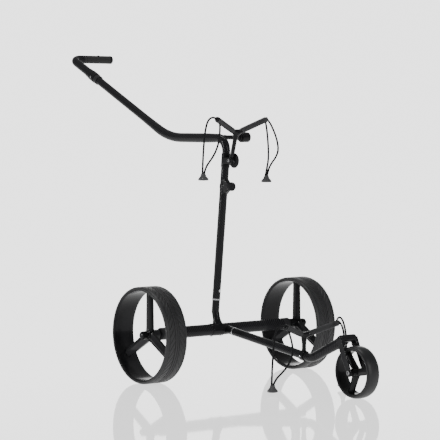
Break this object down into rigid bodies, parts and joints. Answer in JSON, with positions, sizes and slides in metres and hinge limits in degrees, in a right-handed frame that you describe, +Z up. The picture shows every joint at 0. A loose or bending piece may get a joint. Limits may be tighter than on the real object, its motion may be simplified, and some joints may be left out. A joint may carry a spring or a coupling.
{
  "type": "golf trolley",
  "caption": "Push trolley for a golf bag: cranked tube frame, spoked wheels, front fork, forked strap brackets and a side grip on a long handle.",
  "frame": {"origin": "on the floor, under the middle of the overall length and width", "axes": "+Z up, +Y towards the handle, -Y towards the front wheel, +X towards the trolley's left"},
  "size_m": [0.668, 1.5657, 1.041],
  "materials": {
    "carbon": "woven carbon fibre under clear gloss",
    "gloss_black": "moulded black with a gloss coat",
    "wheel_black": "moulded wheel, gloss inside the rim",
    "tread_rubber": "matt tread with fine grooves",
    "smooth_rubber": "smooth satin tread",
    "grip_rubber": "matt grip",
    "pad_rubber": "soft ribbed sleeve",
    "anodised": "black anodised",
    "bright_metal": "bright turned metal",
    "bright_ring": "polished ring",
    "button_white": "pale moulded button",
    "bearing_metal": "bearing sleeve",
    "knob_black": "knurled black knob",
    "cord_black": "braided elastic cord"
  },
  "bodies": {
    "frame": {"axle_tube": "carbon", "axle_end_right": "anodised", "axle_end_left": "anodised", "mast_socket": "gloss_black", "mast_ring": "bright_ring", "front_socket": "gloss_black", "front_ring": "bright_ring", "front_tube": "carbon", "front_knee": "carbon", "fork": "gloss_black", "fork_spacer_right": "anodised", "fork_spacer_left": "anodised", "front_axle_bolt": "bright_metal", "front_axle_nut": "bright_metal", "mast_tube": "carbon", "mast_head": "gloss_black", "mast_clip": "gloss_black", "handle_tube": "carbon", "handle_collar": "anodised", "pivot_bolt": "bright_metal", "pivot_washer": "bright_ring", "accessory_bar": "gloss_black", "lower_bracket": "gloss_black", "lower_bracket_pad_right": "pad_rubber", "lower_bracket_pad_left": "pad_rubber", "lower_cord_right_outer": "cord_black", "lower_cord_right_inner": "cord_black", "lower_cord_left_outer": "cord_black", "lower_cord_left_inner": "cord_black", "lower_knob_right": "knob_black", "lower_knob_left": "knob_black"},
    "wheel_right": {"rear_tyre_right": "tread_rubber", "rear_wheel_right": "wheel_black", "hub_bearing_right": "bearing_metal"},
    "wheel_left": {"rear_tyre_left": "tread_rubber", "rear_wheel_left": "wheel_black", "hub_bearing_left": "bearing_metal"},
    "hub_cap_right": {"hub_cap_right": "gloss_black"},
    "hub_cap_left": {"hub_cap_left": "gloss_black"},
    "front_wheel": {"front_tyre": "smooth_rubber", "front_wheel": "wheel_black", "front_bearing": "bearing_metal"},
    "upper_bracket": {"upper_bracket": "gloss_black", "upper_bracket_pad_right": "pad_rubber", "upper_bracket_pad_left": "pad_rubber", "upper_cord_right_outer": "cord_black", "upper_cord_right_inner": "cord_black", "upper_cord_left_outer": "cord_black", "upper_cord_left_inner": "cord_black", "upper_knob_right": "knob_black", "upper_knob_left": "knob_black"},
    "pivot_knob": {"pivot_knob": "knob_black"},
    "clip_knob": {"clip_knob": "knob_black"},
    "mast_button": {"mast_button": "button_white"},
    "front_button": {"front_button": "button_white"},
    "handle_head": {"grip_elbow": "carbon", "grip_sleeve": "grip_rubber", "grip_end_cap": "gloss_black"},
    "grip_stud": {"grip_stud": "gloss_black"},
    "accessory_cap": {"accessory_cap": "gloss_black"}
  },
  "joints": [
    {"name": "rear_wheel_right_spin", "type": "hinge", "parent": "frame", "child": "wheel_right", "pos_m": [-0.296, -0.07407, 0.15], "axis": [1, 0, 0], "continuous": true},
    {"name": "rear_wheel_left_spin", "type": "hinge", "parent": "frame", "child": "wheel_left", "pos_m": [0.296, -0.07407, 0.15], "axis": [1, 0, 0], "continuous": true},
    {"name": "front_wheel_spin", "type": "hinge", "parent": "frame", "child": "front_wheel", "pos_m": [0, -0.70557, 0.0773], "axis": [1, 0, 0], "continuous": true},
    {"name": "hub_cap_right_press", "type": "slide", "parent": "wheel_right", "child": "hub_cap_right", "axis": [1, 0, 0], "range_m": [0, 0.003], "stiffness_N_per_m": 900, "springref_m": -0.003},
    {"name": "hub_cap_left_press", "type": "slide", "parent": "wheel_left", "child": "hub_cap_left", "axis": [-1, 0, 0], "range_m": [0, 0.003], "stiffness_N_per_m": 900, "springref_m": -0.003},
    {"name": "upper_bracket_fold", "type": "hinge", "parent": "frame", "child": "upper_bracket", "pos_m": [-0.038, -0.15307, 0.6855], "axis": [1, 0, 0], "range_deg": [0, 95]},
    {"name": "pivot_knob_turn", "type": "hinge", "parent": "frame", "child": "pivot_knob", "pos_m": [-0.028, -0.15307, 0.6855], "axis": [1, 0, 0], "range_deg": [-180, 180]},
    {"name": "clip_knob_turn", "type": "hinge", "parent": "frame", "child": "clip_knob", "pos_m": [-0.03, -0.143, 0.604], "axis": [0, -1, 0], "range_deg": [-180, 180]},
    {"name": "mast_button_press", "type": "slide", "parent": "frame", "child": "mast_button", "axis": [-0.244, 0.9638, 0.1076], "range_m": [0, 0.0042], "stiffness_N_per_m": 900, "springref_m": -0.003},
    {"name": "front_button_press", "type": "slide", "parent": "frame", "child": "front_button", "axis": [-1, 0, 0], "range_m": [0, 0.0042], "stiffness_N_per_m": 900, "springref_m": -0.003},
    {"name": "handle_turn", "type": "hinge", "parent": "frame", "child": "handle_head", "pos_m": [-0.03, 0.59593, 0.94493], "axis": [0, 0.9065, 0.4223], "range_deg": [-90, 90]},
    {"name": "grip_stud_press", "type": "slide", "parent": "handle_head", "child": "grip_stud", "axis": [0, 0.5, -0.866], "range_m": [0, 0.0012], "stiffness_N_per_m": 600, "springref_m": -0.002},
    {"name": "accessory_cap_pull", "type": "slide", "parent": "frame", "child": "accessory_cap", "axis": [1, 0, 0], "range_m": [0, 0.03]}
  ]
}
